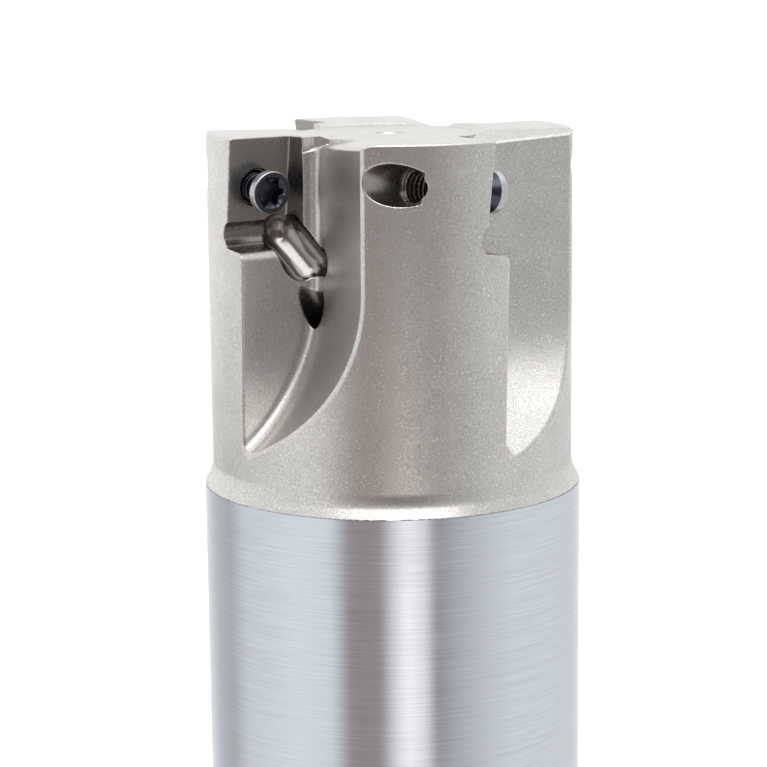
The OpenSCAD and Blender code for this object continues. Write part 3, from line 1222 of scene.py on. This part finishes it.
@dataclass(frozen=True)
class GrainFinish(MetalFinish):
    """A plated or oxidised surface with a fine, even grain."""

    cloud_mm: float = 3.0
    sparkle: float = 0.0

    def material(self, grain: bpy.types.NodeTree) -> bpy.types.Material:
        """Builds the material.

        Args:
            grain: The grain group.

        Returns:
            The material.
        """
        material, shader = new_material(self.name)
        place = shader.node("ShaderNodeTexCoord").outputs["Object"]
        group = shader.node(
            "ShaderNodeGroup", {"node_tree": grain}, Vector=place,
            Grain_Size=self.texture_mm, Cloud_Size=self.cloud_mm,
        ).outputs
        colour = shader.mixed(group["Tone"], self.dark, self.light)
        bright = shader.math("MULTIPLY", group["Sparkle"], self.sparkle)
        colour = shader.mixed(bright, colour, WHITE)
        smooth, rough = self.roughness
        roughness = shader.ranged(group["Tone"], 0.0, 1.0, rough, smooth)
        self._dress(shader, colour, roughness, group["Height"])
        return material


@dataclass(frozen=True)
class GroundFinish(MetalFinish):
    """A bright surface ground around the tool's axis."""

    def material(self, lines: bpy.types.NodeTree) -> bpy.types.Material:
        """Builds the material.

        Args:
            lines: The group of turned lines.

        Returns:
            The material.
        """
        material, shader = new_material(self.name)
        place = shader.node("ShaderNodeTexCoord").outputs["Object"]
        group = shader.node(
            "ShaderNodeGroup", {"node_tree": lines}, Vector=place, Line_Width=self.texture_mm
        ).outputs
        tone = shader.ranged(group["Height"], 0.3, 0.7, 0.0, 1.0)
        colour = shader.mixed(tone, self.dark, self.light)
        roughness = shader.ranged(group["Band"], 0.3, 0.7, *self.roughness)
        self._dress(shader, colour, roughness, group["Height"])
        return material


# ---------------------------------------------------------------------------------------
# Studio
# ---------------------------------------------------------------------------------------


@dataclass(frozen=True)
class Glow:
    """What the screen shows at one heading.

    Attributes:
        heading: Degrees to the right of the camera.
        strength: Brightness near the floor.
        warmth: How far the light leans to red.
        upper: Brightness higher up, where it differs.
    """

    heading: float
    strength: float
    warmth: float = 0.0
    upper: float | None = None


@dataclass
class Studio:
    """Floor, surrounding light and camera."""

    camera_place: tuple[float, float, float] = (-0.680, -196.96, 165.51)
    pitch: float = 10.677
    roll: float = -0.596
    lens: float = 110.39
    sensor: float = 36.0
    floor_size: float = 60.0
    floor_tone: float = 0.94
    horizon: float = 1.12
    overhead: float = 1.5
    screen_radius: float = 0.45
    screen_height: float = 0.52
    screen_gap: float = 0.02
    screen_lift: float = 0.0005
    screen_segments: int = 180
    upper_from: float = 0.030
    upper_to: float = 0.062
    canopy_headings: tuple[float, float] = (-34.0, 48.0)
    canopy_low: tuple[float, float] = (0.44, 0.43)
    canopy_high: tuple[float, float] = (0.20, 0.80)
    canopy_glow: float = 3.0
    canopy_columns: int = 24
    blue_loss: float = 0.3
    zones: tuple[Glow, ...] = (
        Glow(-180, 0.95, 0.0, 1.1), Glow(-150, 0.85, 0.0, 1.2), Glow(-134, 0.68, 0.0, 1.25),
        Glow(-116, 0.6, 0.0, 1.2), Glow(-100, 0.9, 0.0, 1.15), Glow(-60, 1.05), Glow(-38, 1.0),
        Glow(-26, 0.36, 0.16, 0.28), Glow(-8, 0.36, 0.22, 0.22), Glow(1, 1.05, 0.05, 0.16),
        Glow(8, 1.4, 0.08, 0.14), Glow(18, 1.1, 0.08, 0.16), Glow(25, 0.4, 0.1, 0.25),
        Glow(36, 0.6, 0.0, 0.5), Glow(54, 0.8, 0.0, 0.75), Glow(76, 0.96, 0.0, 0.9),
        Glow(108, 0.95, 0.0, 1.05), Glow(140, 0.85, 0.0, 1.1), Glow(180, 0.95, 0.0, 1.1),
    )

    def build(self) -> None:
        """Builds the whole studio."""
        self._floor()
        self._sky()
        self._screen()
        self._canopy()
        self._camera()

    def _staged(self, mesh: bpy.types.Mesh, material: bpy.types.Material) -> bpy.types.Object:
        """Returns a new piece of the studio, named after its mesh."""
        mesh.materials.append(material)
        stand = bpy.data.objects.new(mesh.name, mesh)
        bpy.context.scene.collection.objects.link(stand)
        return stand

    def _floor(self) -> None:
        """Builds the pale floor that the mill stands on."""
        half = self.floor_size / 2
        corners = [(-half, -half, 0), (half, -half, 0), (half, half, 0), (-half, half, 0)]
        mesh = bpy.data.meshes.new("studio_floor")
        mesh.from_pydata(corners, [], [(0, 1, 2, 3)])
        material, shader = new_material("pale floor")
        tone = (self.floor_tone, self.floor_tone, self.floor_tone, 1.0)
        shader.show(shader.node(
            "ShaderNodeBsdfPrincipled", Base_Color=tone, Roughness=0.9, Specular_IOR_Level=0.0
        ))
        self._staged(mesh, material)

    def _sky(self) -> None:
        """Builds the soft white light that falls on everything."""
        world = bpy.data.worlds.new("studio light")
        world.use_nodes = True
        bpy.context.scene.world = world
        shader = ShaderTree(world.node_tree)
        direction = shader.node("ShaderNodeTexCoord").outputs["Generated"]
        up = shader.node("ShaderNodeSeparateXYZ", Vector=direction).outputs[2]
        strength = shader.ranged(up, 0.3, 0.9, self.horizon, self.overhead)
        light = shader.node("ShaderNodeBackground", Color=WHITE, Strength=strength)
        shader.show(light, "ShaderNodeOutputWorld")
        bpy.context.scene.view_settings.view_transform = "Standard"

    def _mirrored(
        self, name: str, headings: np.ndarray, outline: tuple[tuple[float, float], ...],
        material: bpy.types.Material,
    ) -> None:
        """Builds a glowing strip around the mill that only the metal mirrors.

        Args:
            name: Name of the strip.
            headings: Its columns, in radians to the right of the camera.
            outline: Its rows, as distance from the axis and height.
            material: What it glows with.
        """
        count = len(headings)
        aim = np.stack([np.sin(headings), -np.cos(headings)], 1)
        rows = [np.concatenate([aim * r, np.full((count, 1), z)], 1) for r, z in outline]
        faces = [
            (start + i + 1, start + i, start + i + count, start + i + 1 + count)
            for start in range(0, count * (len(outline) - 1), count)
            for i in range(count - 1)
        ]
        mesh = bpy.data.meshes.new(name)
        mesh.from_pydata(np.concatenate(rows).tolist(), [], faces)
        strip = self._staged(mesh, material)
        for ray in ("camera", "diffuse", "transmission", "shadow"):
            setattr(strip, "visible_" + ray, False)

    def _screen(self) -> None:
        """Builds the round screen of bright and dark zones."""
        headings = np.radians(np.linspace(-180, 180, self.screen_segments + 1))
        outline = (
            (self.screen_gap, self.screen_lift),
            (self.screen_radius, self.screen_lift),
            (self.screen_radius, self.screen_height),
        )
        self._mirrored("studio_screen", headings, outline, self._screen_light())

    def _canopy(self) -> None:
        """Builds the bright panel high above the front, which bevels and edges mirror."""
        headings = np.radians(np.linspace(*self.canopy_headings, self.canopy_columns))
        material, shader = new_material("studio canopy")
        glow = shader.node("ShaderNodeEmission", Color=WHITE, Strength=self.canopy_glow)
        shader.show(glow)
        outline = (self.canopy_low, self.canopy_high)
        self._mirrored("studio_canopy", headings, outline, material)

    def _screen_light(self) -> bpy.types.Material:
        """Returns the screen's material, whose brightness follows its zones."""
        material, shader = new_material("studio screen")
        place = shader.node("ShaderNodeTexCoord").outputs["Object"]
        split = shader.node("ShaderNodeSeparateXYZ", Vector=place).outputs
        forward = shader.math("MULTIPLY", split[1], -1.0)
        heading = shader.math("ARCTAN2", split[0], forward)
        share = shader.math("MULTIPLY_ADD", heading, 0.5 / math.pi, 0.5)
        brightest = 2 * max(zone.strength for zone in self.zones)
        low = self._ramp(shader, share, brightest, upper=False)
        high = self._ramp(shader, share, brightest, upper=True)
        lift = shader.ranged(split[2], self.upper_from, self.upper_to, 0.0, 1.0)
        tint = shader.mixed(lift, low, high)
        shader.show(shader.node("ShaderNodeEmission", Color=tint, Strength=brightest))
        return material

    def _ramp(
        self, shader: ShaderTree, share: bpy.types.NodeSocket, brightest: float, upper: bool
    ) -> bpy.types.NodeSocket:
        """Adds a colour ramp of the zones.

        Args:
            shader: The tree that the ramp goes into.
            share: The heading as a share of the full turn.
            brightest: The strength that full white stands for.
            upper: True for what the screen shows higher up.

        Returns:
            The ramp's colour.
        """
        ramp = shader.node("ShaderNodeValToRGB", Fac=share)
        stops = ramp.color_ramp.elements
        for number, zone in enumerate(self.zones):
            if number in (0, len(self.zones) - 1):
                stop = stops[0 if number == 0 else len(stops) - 1]
            else:
                stop = stops.new(zone.heading / 360 + 0.5)
            strength = zone.upper if upper and zone.upper is not None else zone.strength
            tone = strength / brightest
            red, blue = 1 + zone.warmth, 1 - self.blue_loss * zone.warmth
            stop.color = (tone * red, tone, tone * blue, 1.0)
        return ramp.outputs[0]

    def _camera(self) -> None:
        """Builds the camera."""
        pitch, roll = math.radians(self.pitch), math.radians(self.roll)
        ahead = Vector((0.0, math.cos(pitch), -math.sin(pitch)))
        right = Vector((1.0, 0.0, 0.0))
        up = right.cross(ahead)
        rolled_right = math.cos(roll) * right + math.sin(roll) * up
        rolled_up = math.cos(roll) * up - math.sin(roll) * right
        data = bpy.data.cameras.new("camera")
        data.lens, data.sensor_width = self.lens, self.sensor
        data.clip_start, data.clip_end = 0.01, 100.0
        camera = bpy.data.objects.new("camera", data)
        axes = Matrix((rolled_right, rolled_up, -ahead)).transposed().to_4x4()
        camera.matrix_world = Matrix.Translation(Vector(self.camera_place) * MM) @ axes
        bpy.context.scene.collection.objects.link(camera)
        bpy.context.scene.camera = camera


# ---------------------------------------------------------------------------------------
# The whole mill
# ---------------------------------------------------------------------------------------

BLASTED_NICKEL = GrainFinish(
    "blasted nickel plate", (0.32, 0.31, 0.295, 1), (0.80, 0.79, 0.765, 1), (0.26, 0.40),
    0.10, 0.006, sparkle=1.0,
)
# Milled plate: its lower roughness is its real finish, and its darker colour is painted shade for
# the dark surroundings that it mirrors.
MILLED_NICKEL_PAINTED_DARK = GrainFinish(
    "milled nickel plate with painted shade", (0.27, 0.26, 0.25, 1), (0.34, 0.325, 0.305, 1), (0.24, 0.32),
    0.12, 0.003,
)
# Smooth plate: its low roughness is its real finish, and its dark colour is painted shade.
POLISHED_NICKEL_PAINTED_DARK = GrainFinish(
    "smooth nickel plate with painted shade", (0.27, 0.26, 0.25, 1), (0.32, 0.305, 0.29, 1), (0.15, 0.20), 0.2, 0.001,
)
BLACK_OXIDE = GrainFinish(
    "black oxide", (0.05, 0.055, 0.065, 1), (0.085, 0.09, 0.105, 1), (0.24, 0.36), 0.08, 0.002,
)
# Lighter colour for the screws' straight rims: a painted highlight.
PAINTED_RIM_HIGHLIGHT = GrainFinish(
    "rim with painted highlight", (0.30, 0.31, 0.33, 1), (0.62, 0.63, 0.66, 1), (0.22, 0.34), 0.10, 0.002,
)
GROUND_STEEL = GroundFinish(
    "ground steel", (0.565, 0.605, 0.65, 1), (0.63, 0.675, 0.725, 1), (0.12, 0.18),
    0.12, 0.0008,
)


def main() -> None:
    """Loads the frame and builds the mill and its studio."""
    logging.basicConfig(level=logging.INFO, format="%(name)s: %(message)s")
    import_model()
    grain, lines = grain_group(), lines_group()
    plate = BLASTED_NICKEL.material(grain)
    milled_painted_dark = MILLED_NICKEL_PAINTED_DARK.material(grain)
    polished_painted_dark = POLISHED_NICKEL_PAINTED_DARK.material(grain)
    head = MillHead()
    pieces = [
        head.build({Surface.BLASTED: plate, Surface.MILLED: milled_painted_dark, Surface.POLISHED: polished_painted_dark}),
        MillShank().build(GROUND_STEEL.material(lines)),
    ]
    pieces += InsertScrew().build(head, BLACK_OXIDE.material(grain), PAINTED_RIM_HIGHLIGHT.material(grain))
    for made in pieces:
        LOG.info("%s: %d faces", made.name, len(made.data.polygons))
    Studio().build()


if __name__ == "__main__":
    main()
